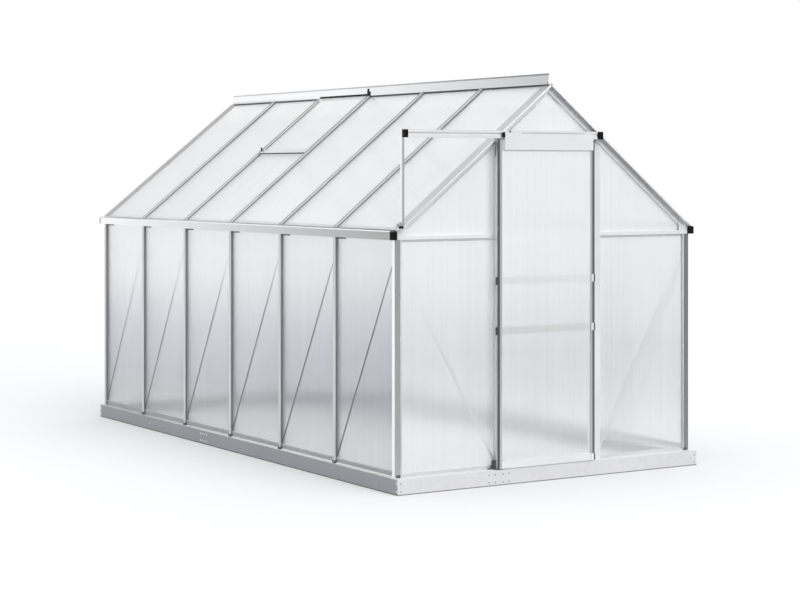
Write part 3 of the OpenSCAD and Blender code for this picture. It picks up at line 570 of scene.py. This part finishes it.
skin("baseBolts", [heads(fronts, (0, -1, 0), dome), heads(lefts, (-1, 0, 0), dome),
                   heads(rights, (1, 0, 0), dome)], "building", finishes["bolt_metal"])
wide, thick, edge = (baseLook[key] for key in ("returnWide", "returnThick", "edge"))
feet = mirrored([(baseLow.x, y, baseLow.z + edge) for y in (baseLow.y + wide / 2, baseHigh.y - wide / 2)])
tops = feet + (0, 0, baseHigh.z - baseLow.z - 2 * edge)
skin("baseReturns", [bars(feet, tops, (1, 0, 0), wide, thick)], "building",
     finishes["base_sheet"])

# corner posts: pale glazing beads on the end faces
beadLook = {"wide": 0.009, "proud": 0.0015, "out": -0.002}
postLow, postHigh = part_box("corner_posts")
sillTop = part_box("end_sills")[1].z
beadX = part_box("eaves_bars")[1].x + beadLook["out"]
beadFeet = mirrored([(beadX, y, sillTop) for y in (postLow.y, postHigh.y)])
beadTops = beadFeet * (1, 1, 0) + (0, 0, postHigh.z)
skin("cornerBeads", [bars(beadFeet, beadTops, (0, 1, 0), beadLook["wide"], 2 * beadLook["proud"])],
     "building", finishes["grey_rubber"])

# wall posts: a dark shoe round the outer part of each, with a bolt; corner posts have a shoe on the end face
shoeLook = {"wide": 0.032, "high": 0.015, "deep": 0.014, "proud": 0.003, "bolt": 0.5, "cornerIn": 0.022,
            "cornerNarrow": 1.4}
shoeX = postHigh.x + shoeLook["proud"] - shoeLook["deep"] / 2
shoes = mirrored([(shoeX, y, postLow.z) for y in postYs])
cornerShoes = mirrored([(postHigh.x - shoeLook["cornerIn"], y, postLow.z) for y in (postLow.y, postHigh.y)])
rise = np.array((0, 0, shoeLook["high"]))
skin("postShoes", [bars(shoes, shoes + rise, (1, 0, 0), shoeLook["wide"], shoeLook["deep"]),
                   bars(cornerShoes, cornerShoes + rise, (0, 1, 0),
                        shoeLook["wide"] / shoeLook["cornerNarrow"], 2 * shoeLook["proud"])],
     "building", finishes["dark_rubber"])
middles = np.array([(postHigh.x + shoeLook["proud"], y, postLow.z + shoeLook["high"] / 2) for y in postYs])
small = dome * shoeLook["bolt"]
skin("shoeBolts", [heads(middles, (1, 0, 0), small), heads(middles * (-1, 1, 1), (-1, 0, 0), small)],
     "building", finishes["bolt_metal"])

# side sills: a slanting drip lip along the foot of each, and a pale seal along its top
lipLook = {"wide": 0.012, "thick": 0.0015, "out": 0.0068, "up": 0.0046, "seal": (0.009, 0.0014),
           "sealUp": 0.0003}
sillLow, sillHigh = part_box("side_sills")
lipX, lipZ = sillHigh.x + lipLook["out"], sillLow.z + lipLook["up"]
skin("sillLips", [bars((side * lipX, sillLow.y, lipZ), (side * lipX, sillHigh.y, lipZ), (side, 0, 1),
                       lipLook["wide"], lipLook["thick"]) for side in (-1, 1)],
     "building", barFinishes["sillLip"])
high, thick = lipLook["seal"]
sealX, sealZ = sillHigh.x + thick / 3, sillHigh.z + lipLook["sealUp"] - high / 2
skin("sillSeals", [bars(mirrored((sealX, sillLow.y, sealZ)), mirrored((sealX, sillHigh.y, sealZ)), (0, 0, 1),
                        thick, high)], "building", finishes["pale_rubber"])

# gutters: a bright rolled lip on each outer wall, and a metal strip, darker towards the front, along the roof
# sheets' low edge, standing in for the shaded inside of the gutter, a painted shade
gutterLook = {"lip": (0.008, 0.0075), "soft": 0.002, "over": 0.0055, "in": 0.0001, "strip": (0.004, 0.009),
              "up": 0.0055, "end": 0.002}
gutterLow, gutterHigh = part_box("gutter_right")
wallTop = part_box("gutter_caps")[1].z
ends = (gutterLow.y + gutterLook["end"], gutterHigh.y - gutterLook["end"])
wide, high = gutterLook["lip"]
lipX, lipZ = gutterHigh.x - wide / 2 - gutterLook["in"], wallTop + gutterLook["over"] - high / 2
skin("gutterLips", [bars(mirrored((lipX, ends[0], lipZ)), mirrored((lipX, ends[1], lipZ)), (0, 0, 1), wide,
                         high, gutterLook["soft"])], "building", barFinishes["brightLip"])
wide, high = gutterLook["strip"]
stripX, stripZ = abs(sheetLow.x) + wide / 2, wallTop + gutterLook["up"]
skin("eavesShadeStrips", [bars(mirrored((stripX, ends[0], stripZ)), mirrored((stripX, ends[1], stripZ)),
                          (0, 0, 1), wide, high)], "building", barFinishes["ridgeLip"])

# wall posts: a short dark strip beside the head of each, under the gutter, a painted shadow
postShadowLook = {"cornerIn": 0.035, "long": 0.09, "high": 0.009, "deep": 0.003, "sunk": 0.0002}
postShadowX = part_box("wall_panels_right")[1].x + postShadowLook["deep"] / 2 - postShadowLook["sunk"]
postShadowYs = np.append(postYs - postLook["wide"] / 2, postHigh.y - postShadowLook["cornerIn"])
postShadows = mirrored([(postShadowX, y, gutterLow.z - postShadowLook["high"] / 2) for y in postShadowYs])
skin("postHeadShadows", [bars(postShadows, postShadows - (0, postShadowLook["long"], 0), (0, 0, 1), postShadowLook["deep"],
                           postShadowLook["high"])], "building", finishes["dark_rubber"])

# ridge: a skirt under each side of its strip, a dark seal below it that stands in for the shade in the gap
# above the sheets, a rolled lip along the fin, and end plates
ridgeLook = {"skirt": (0.012, 0.0014), "skirtEnd": 0.012, "seal": (0.01, 0.003), "sealUp": 0.0005,
             "lip": (0.008, 0.003), "lipEnd": 0.003, "lipSunk": 0.001, "plate": (0.024, 0.004, 0.014),
             "plateIn": 0.006, "plateDown": 0.0004}
ridgeLow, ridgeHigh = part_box("ridge_cap")
beamLow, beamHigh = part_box("ridge_beam")
wide, thick = ridgeLook["skirt"]
skirtX, skirtZ = ridgeHigh.x - thick / 4, ridgeLow.z - wide / 2
ends = (ridgeLow.y + ridgeLook["skirtEnd"], ridgeHigh.y - ridgeLook["skirtEnd"])
skin("ridgeSkirts", [bars(mirrored((skirtX, ends[0], skirtZ)), mirrored((skirtX, ends[1], skirtZ)), (1, 0, 0),
                          wide, thick)], "building", barFinishes["ridge"])
wide, thick = ridgeLook["seal"]
sealX, sealZ = beamHigh.x + thick / 2, ridgeLow.z - ridgeLook["skirt"][0] - wide / 2 + ridgeLook["sealUp"]
skin("ridgeGapShades", [bars(mirrored((sealX, beamLow.y, sealZ)), mirrored((sealX, beamHigh.y, sealZ)),
                         (1, 0, 0), wide, thick)], "building", finishes["dark_rubber"])
wide, thick = ridgeLook["lip"]
lipX, lipZ = ridgeLow.x - thick / 2 + ridgeLook["lipSunk"], ridgeHigh.z - wide / 2
skin("ridgeLip", [bars((lipX, ridgeLow.y + ridgeLook["lipEnd"], lipZ),
                       (lipX, ridgeHigh.y - ridgeLook["lipEnd"], lipZ), (-1, 0, 0), wide, thick)],
     "building", barFinishes["ridgeLip"])
wide, thick, high = ridgeLook["plate"]
feet = np.array([(0, y, ridgeLow.z - high) for y in (ridgeLow.y + ridgeLook["plateIn"],
                                                     ridgeHigh.y - ridgeLook["plateIn"])])
skin("ridgeEnds", [bars(feet, feet + (0, 0, high - ridgeLook["plateDown"]), (0, 1, 0), wide, thick)],
     "building", finishes["white_plastic"])

# eaves bars over the end walls: a pale seam under each, on the sheet
gasketLook = {"high": 0.0035, "deep": 0.002, "clear": 0.002, "under": 0.01}
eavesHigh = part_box("eaves_bars")[1]
gableLow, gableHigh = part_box("gable_panels")
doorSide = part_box("door_post_left")[0].x
gasketZ = postHigh.z - gasketLook["under"]
inset = gasketLook["clear"]
gasketY = (gableLow.y - gasketLook["deep"] / 4, gableHigh.y + gasketLook["deep"] / 4)
starts = mirrored([(eavesHigh.x - inset, y, gasketZ) for y in gasketY])
ends = mirrored([(-doorSide + inset, y, gasketZ) for y in gasketY])
skin("eavesGaskets", [bars(starts, ends, (0, 0, 1), gasketLook["deep"], gasketLook["high"])],
     "building", finishes["grey_rubber"])

# gable rafters: a light lip along the outer edge of each, from the eaves up to the apex, and a bright seal
# on the sheet under each left one
rafterLook = {
    "wide": 0.01, "thick": 0.002, "low": 0.03, "top": 0.004,
    "sunk": 2.5,      # a lip's middle lies its thickness divided by this inside the rafter's face
    "web": 0.034, "step": 0.012, "sealRun": (0.89, 0.078),
}
rafterLow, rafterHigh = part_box("gable_rafters")
drop = rafterLook["wide"] / 2 / math.cos(roofPitch)
wide, thick = rafterLook["wide"], rafterLook["thick"]
run = (rafterHigh.x - rafterLook["low"], rafterLook["top"])
lips = []
for y in (rafterLow.y + thick / rafterLook["sunk"], rafterHigh.y - thick / rafterLook["sunk"]):
    for side in (-1, 1):
        lips.append(bars(*((side * x, y, rafterHigh.z - roof["rise"] * x - drop) for x in run), (0, 1, 0),
                         wide, thick))
skin("rafterLips", lips, "building", finishes["white_plastic"])
step = rafterLook["step"]
drop = (rafterLook["web"] + step / 2) / math.cos(roofPitch)
seals = []
for y, face in ((gableLow.y - step / 2, -1), (gableHigh.y + step / 2, 1)):
    down = (math.sin(roofPitch), face, -math.cos(roofPitch))
    seals.append(bars(*((-x, y, rafterHigh.z - roof["rise"] * x - drop) for x in rafterLook["sealRun"]), down,
                      step * math.sqrt(2), rafterLook["thick"]))
skin("rafterSeals", seals, "building", barFinishes["brightLip"])

# foot of the rail's upright: a grey bracket on the rafter's flange with a black pad below it
footLook = {"bracket": (0.036, 0.006, 0.017), "bracketUp": 0.026, "lean": 0.006, "pad": (0.024, 0.006, 0.013),
            "padLean": 0.001, "padUp": 0.011, "out": 0.0105, "padOut": 0.008}
uprightLow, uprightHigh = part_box("rail_upright")
uprightX = (uprightLow.x + uprightHigh.x) / 2
for name, size, up, out, lean, slot, finish in (
        ("uprightBracket", "bracket", "bracketUp", "out", "lean", "grey_plastic", "steel_rubber"),
        ("uprightPad", "pad", "padUp", "padOut", "padLean", "black_plastic", "black_plastic")):
    long, deep, high = footLook[size]
    middle = (uprightX - footLook[out] - long / 4, uprightLow.y - deep / 4, uprightLow.z + footLook[up])
    half = np.array((long / 2, 0, footLook[lean]))
    skin(name, [bars(middle - half, middle + half, (0, 0, 1), deep, high)], "building",
         finishes[finish])

# roof window: seals round its frame, a hinge under the ridge strip, a stay pin at its lower far corner and a
# boot round its stop
windowLook = {
    "lowSeal": (0.008, 0.002), "lowSealDown": 0.005, "sideSeal": (0.003, 0.0012), "sideShort": 0.006,
    "hinge": (0.004, 0.012), "hingeGap": 0.0005, "hingeDown": 0.0005,
    "knuckle": 0.0026, "knuckleLong": 0.03, "knuckles": 7,
    "knuckleShape": ((0.8, 0), (1, 0.02), (1, 0.98), (0.8, 1)),
    "pin": (0.0048, 0.021), "pinShape": ((1, -0.1), (1, 0.85), (0.7, 1)), "pinIn": 0.017, "pinPast": 0.004,
    "boot": (0.028, 0.0055), "bootSoft": 0.002, "bootGap": 0.0002, "bootZ": (-0.014, 0.014), "bootY": -0.004,
}
windowLow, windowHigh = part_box("window_frame")
windowWide = windowHigh.y - windowLow.y


def windowTop(x):
    # height of the window frame's outer face: its top + rise * (the top's distance from the middle - x's)
    return windowHigh.z + roof["rise"] * (abs(windowHigh.x) - abs(x))


roofOut = np.array((-math.sin(roofPitch), 0, math.cos(roofPitch)))     # square to the left roof side
wide, high = windowLook["lowSeal"]
lowZ = windowTop(windowLow.x) - windowLook["lowSealDown"]
seals = [bars((windowLow.x, windowLow.y, lowZ), (windowLow.x, windowHigh.y, lowZ), (-1, 0, 0), wide, high)]
wide, high = windowLook["sideSeal"]
sealRun = (windowLow.x, windowHigh.x - windowLook["sideShort"])
seals.append(bars(*([(x, y, windowTop(x)) for y in (windowLow.y, windowHigh.y)] for x in sealRun), roofOut,
                  wide, high))
skin("windowSeals", seals, "building", finishes["dark_rubber"])
wide, high = windowLook["hinge"]
hingeX = ridgeLow.x - wide / 2 - windowLook["hingeGap"]
hingeZ = ridgeLow.z - high / 2 - windowLook["hingeDown"]
knuckleY = windowLow.y + windowWide * (np.arange(windowLook["knuckles"]) + 0.5) / windowLook["knuckles"]
knuckle = np.array(windowLook["knuckleShape"]) * (windowLook["knuckle"], windowLook["knuckleLong"])
knuckles = [(hingeX - wide / 2, y - windowLook["knuckleLong"] / 2, hingeZ) for y in knuckleY]
skin("windowHinge", [bars((hingeX, windowLow.y, hingeZ), (hingeX, windowHigh.y, hingeZ), (-1, 0, 0), high,
                          wide), heads(knuckles, (0, 1, 0), knuckle)],
     "building", finishes["black_plastic"])
pinX = windowLow.x + windowLook["pinIn"]
pin = np.array(windowLook["pinShape"]) * windowLook["pin"]
skin("windowPin", [heads((pinX, windowHigh.y + windowLook["pinPast"], windowTop(pinX)), (0, 0, 1), pin)],
     "building", finishes["black_plastic"])
wide, deep = windowLook["boot"]
bootX, bootY = ridgeLow.x - deep / 2 - windowLook["bootGap"], windowLow.y + windowLook["bootY"] - wide / 3
skin("stopBoot", [bars(*((bootX, bootY, ridgeLow.z + up) for up in windowLook["bootZ"]), (1, 0, 0), wide,
                       deep, windowLook["bootSoft"])], "building", finishes["black_plastic"])

# door's left post: a dark pad at its head, a block beside the guide at its foot, and a flat dark tongue out
# from under that, a painted shadow at the block's foot
blockLook = {
    "head": (0.022, 0.004, 0.05), "headIn": 0.009, "headDown": 0.016, "headOut": 0.0002,
    "block": (0.026, 0.029, 0.0455), "blockIn": 0.001, "tongue": (0.028, 0.012, 0.005), "shadowTongueIn": 0.003,
    "back": 0.001, "up": 0.0003,
}
guideLow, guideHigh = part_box("door_guides")
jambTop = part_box("door_post_left")[1].z
long, deep, high = blockLook["head"]
headX, headY = guideLow.x + blockLook["headIn"], guideHigh.y - deep / 2 + blockLook["headOut"]
headZ = jambTop - blockLook["headDown"]
skin("jambHead", [bars((headX, headY, headZ - high), (headX, headY, headZ), (0, 1, 0), long, deep)],
     "building", finishes["steel_rubber"])
foot = []
for size, edge in (("block", guideLow.x + blockLook["blockIn"]),
                   ("tongue", guideLow.x - blockLook["block"][0] + blockLook["shadowTongueIn"])):
    long, deep, high = blockLook[size]
    middleY, middleZ = guideHigh.y - blockLook["back"] - deep / 2, guideLow.z + blockLook["up"] + high / 2
    foot.append(bars((edge - long, middleY, middleZ), (edge, middleY, middleZ), (0, 0, 1), deep, high))
skin("guideBlockAndShadow", foot, "building", finishes["dark_rubber"])

# door rail: a pale bristle strip behind its slot, and a fixing bolt near its right end
railLook = {"strip": (0.012, 0.002), "stripBack": 0.0037, "stripUp": 0.0185, "end": 0.001,
            "bolt": (-0.285, 0.005)}
railLow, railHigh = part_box("door_rail")
wide, high = railLook["strip"]
stripY, stripZ = railLow.y + railLook["stripBack"], railLow.z + railLook["stripUp"]
skin("railStrip", [bars((railLow.x + railLook["end"], stripY, stripZ),
                        (railHigh.x - railLook["end"], stripY, stripZ), (0, -1, 0), wide, high)],
     "building", finishes["pale_rubber"])
boltX, boltDown = railLook["bolt"]
skin("railBolt", [heads((boltX, railLow.y, railHigh.z - boltDown), (0, -1, 0), dome)], "building",
     finishes["black_plastic"])

# head plate of the door: a thin dark strip along its upper edge, a painted shadow line between it and the
# rail
headShadowLook = {"left": 0.108, "right": 0.055, "high": 0.002, "sunk": 0.0003}
headLow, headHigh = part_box("door_head")
headY, headZ = (headLow.y + headHigh.y) / 2, headHigh.z + headShadowLook["high"] / 2 - headShadowLook["sunk"]
skin("headShadowLine", [bars((headLow.x + headShadowLook["left"], headY, headZ),
                        (headHigh.x - headShadowLook["right"], headY, headZ), (0, 0, 1),
                        headHigh.y - headLow.y, headShadowLook["high"])],
     "door", finishes["dark_rubber"])
print("greenhouse: bolts, seals and fittings added")


studio = {
    "ambient": 0.36, "sky": (0.89, 0.94, 1.0), "keyStrength": 2.62, "keyTint": (1.0, 0.99, 0.985),
    "keyFrom": (0.05, -0.83, 0.54), "keyAngle": 50.0, "topStrength": 1.5, "topAngle": 60.0,
    "floorTone": 0.45, "floorGlow": 0.44, "floorBounce": 0.23, "shadeReach": 1.6, "shade": 0.62,
    "floorFront": -40.0, "floorBack": 12.0, "floorHalf": 40.0, "floorZ": -0.0005,
    "cardTone": 0.22, "cardFar": 2.6, "cardWide": (-1.4, 7.0), "cardHigh": 3.2,
}


def flatPiece(name, corners):
    mesh = bpy.data.meshes.new(name)
    mesh.from_pydata(corners, [], [tuple(range(len(corners)))])
    made = bpy.data.objects.new(name, mesh)
    bpy.context.scene.collection.objects.link(made)
    return made


# 1 on rays from the camera and on those that it sees mirrored or through glass, 0 on rays that light things
def seenRays(f):
    glossy, camera, through = (f.add("ShaderNodeLightPath", out=ray) for ray in (
        "Is Glossy Ray", "Is Camera Ray", "Is Transmission Ray"))
    return glossy.calc("MAXIMUM", camera).calc("MAXIMUM", through)


half, back, front, low = (studio[key] for key in ("floorHalf", "floorBack", "floorFront", "floorZ"))
floor = flatPiece("floor", [(-half, front, low), (half, front, low), (half, back, low), (-half, back, low)])
f = Finish("paleFloor")
seen = seenRays(f)
# the floor's glow dims by ambient occlusion near the greenhouse, a painted contact shadow
contactShade = f.add("ShaderNodeAmbientOcclusion", {"samples": 4}, {"Distance": studio["shadeReach"]}, out="AO")
glow = f.add("ShaderNodeEmission", {}, {"Color": f.ramp(contactShade, (0.0, 1 - studio["shade"]), (1.0, 1.0)),
                                        "Strength": seen * studio["floorGlow"]})
tone = f.blend(seen, grey(studio["floorBounce"]), grey(studio["floorTone"]))
matt = f.add("ShaderNodeBsdfDiffuse", {}, {"Color": tone})
floor.data.materials.append(f.done(f.add("ShaderNodeAddShader", {}, {0: matt, 1: glow})))

# a grey card before the front: it only shows in the metal, so that its edges read
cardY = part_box("plinth_ends")[0].y - studio["cardFar"]
(left, right), high = studio["cardWide"], studio["cardHigh"]
card = flatPiece("greyCard", [(left, cardY, 0), (right, cardY, 0), (right, cardY, high), (left, cardY, high)])
f = Finish("cardTone")
card.data.materials.append(f.done(f.add("ShaderNodeEmission", {}, {
    "Color": grey(studio["cardTone"]), "Strength": 1.0})))
card.visible_camera = card.visible_diffuse = card.visible_shadow = card.visible_transmission = False

world = bpy.data.worlds.new("studio")
world.use_nodes = True
bpy.context.scene.world = world
w = Finish("studio", world)
soft = w.add("ShaderNodeBackground", {}, {"Color": studio["sky"] + (1,), "Strength": studio["ambient"]})
white = w.add("ShaderNodeBackground", {}, {"Color": grey(1.0), "Strength": 1.0})
sky = w.add("ShaderNodeMixShader", {}, {0: seenRays(w), 1: soft, 2: white})
w.add("ShaderNodeOutputWorld", {}, {"Surface": sky})


def lamp(name, towards, strength, angle, tint=(1, 1, 1)):
    data = bpy.data.lights.new(name, "SUN")
    data.energy, data.angle, data.color = strength, math.radians(angle), tint
    made = bpy.data.objects.new(name, data)
    made.rotation_euler = Vector(towards).to_track_quat("Z", "Y").to_euler()
    made.visible_glossy = made.visible_transmission = False
    bpy.context.scene.collection.objects.link(made)


lamp("key", studio["keyFrom"], studio["keyStrength"], studio["keyAngle"], studio["keyTint"])
lamp("top", (0, 0, 1), studio["topStrength"], studio["topAngle"])
print("greenhouse: studio ready")
